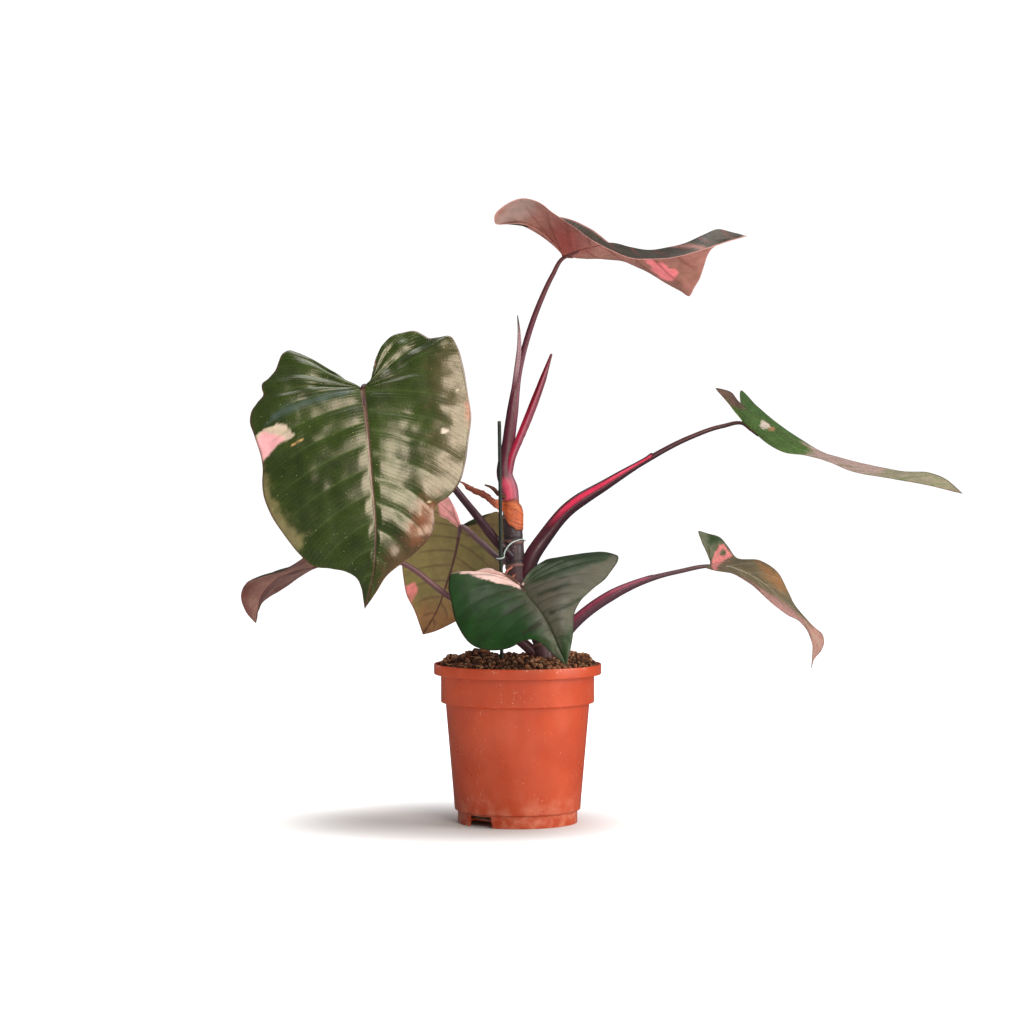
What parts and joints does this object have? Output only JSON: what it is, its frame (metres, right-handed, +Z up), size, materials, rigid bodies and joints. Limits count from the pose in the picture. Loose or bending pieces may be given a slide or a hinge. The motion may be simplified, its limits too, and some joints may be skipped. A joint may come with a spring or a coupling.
{
  "type": "potted philodendron",
  "caption": "Young philodendron with pink-variegated heart-shaped leaves on long arching stalks, staked in a round plastic nursery pot filled with soil",
  "frame": {"origin": "centre of the flat pad under the pot, on the surface that the pot stands on", "axes": "+Z up along the pot's axis, +X along the plant's longest reach, -Y towards the front, where the largest leaf faces"},
  "size_m": [0.5134, 0.1893, 0.4432],
  "materials": {
    "pot_plastic": "satin moulded plastic",
    "soil": "coarse, dry, crumbly",
    "stem": "waxy, ringed by nodes",
    "leaf": "glossy upper face, dull underside",
    "petiole": "waxy, smooth",
    "new_leaf": "waxy, smooth",
    "dry_sheath": "dry, papery",
    "root": "dull, slightly rough",
    "stake": "painted, satin",
    "clip_wire": "smooth coated wire"
  },
  "bodies": {
    "root": {"pot": "pot_plastic", "soil": "soil", "main_stem": "stem", "blade_upper_left": "leaf", "blade_lower_left": "leaf", "blade_back": "leaf", "blade_front": "leaf", "blade_lower_right": "leaf", "blade_right": "leaf", "blade_top": "leaf", "petiole_upper_left": "petiole", "petiole_lower_left": "petiole", "petiole_back": "petiole", "petiole_front": "petiole", "petiole_lower_right": "petiole", "petiole_right": "petiole", "petiole_top": "petiole", "new_leaf_spear": "new_leaf", "sheath_tip": "new_leaf", "dead_stalk_stub": "petiole", "dry_sheath": "dry_sheath", "aerial_root_1": "root", "aerial_root_2": "root", "support_stake": "stake", "plant_clip": "clip_wire"}
  },
  "joints": []
}
